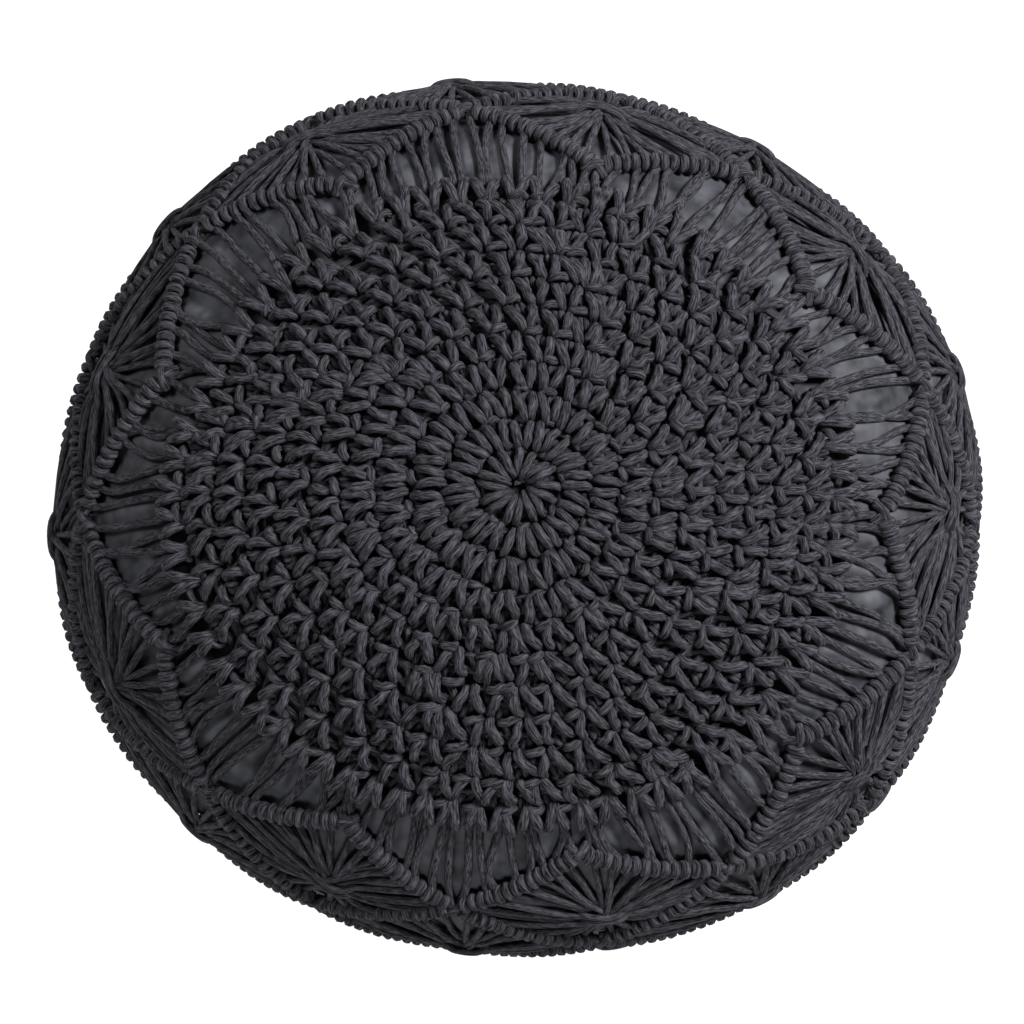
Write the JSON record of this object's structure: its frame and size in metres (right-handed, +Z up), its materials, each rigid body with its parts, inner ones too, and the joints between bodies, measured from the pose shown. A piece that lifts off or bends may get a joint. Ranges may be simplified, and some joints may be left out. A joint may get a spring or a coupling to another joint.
{
  "type": "macrame pouf",
  "caption": "Low round pouf: a filled casing with a crocheted cord top and a knotted net of diamonds round its sides.",
  "frame": {"origin": "middle of the flat underside, on the surface the pouf stands on", "axes": "+Z up through the crown, +X along the longer way across the slightly oval plan, +Y along the shorter way"},
  "size_m": [0.5497, 0.5186, 0.2979],
  "materials": {
    "casing_cloth": "plain woven cotton cloth, dark slate grey, matt",
    "crochet_cord": "soft spun cotton cord in single crochet, charcoal, matt",
    "net_cord": "soft spun cotton cord in macrame knots, charcoal, matt"
  },
  "bodies": {
    "root": {"casing": "casing_cloth", "crochet_top": "crochet_cord", "macrame_net": "net_cord"}
  },
  "joints": []
}
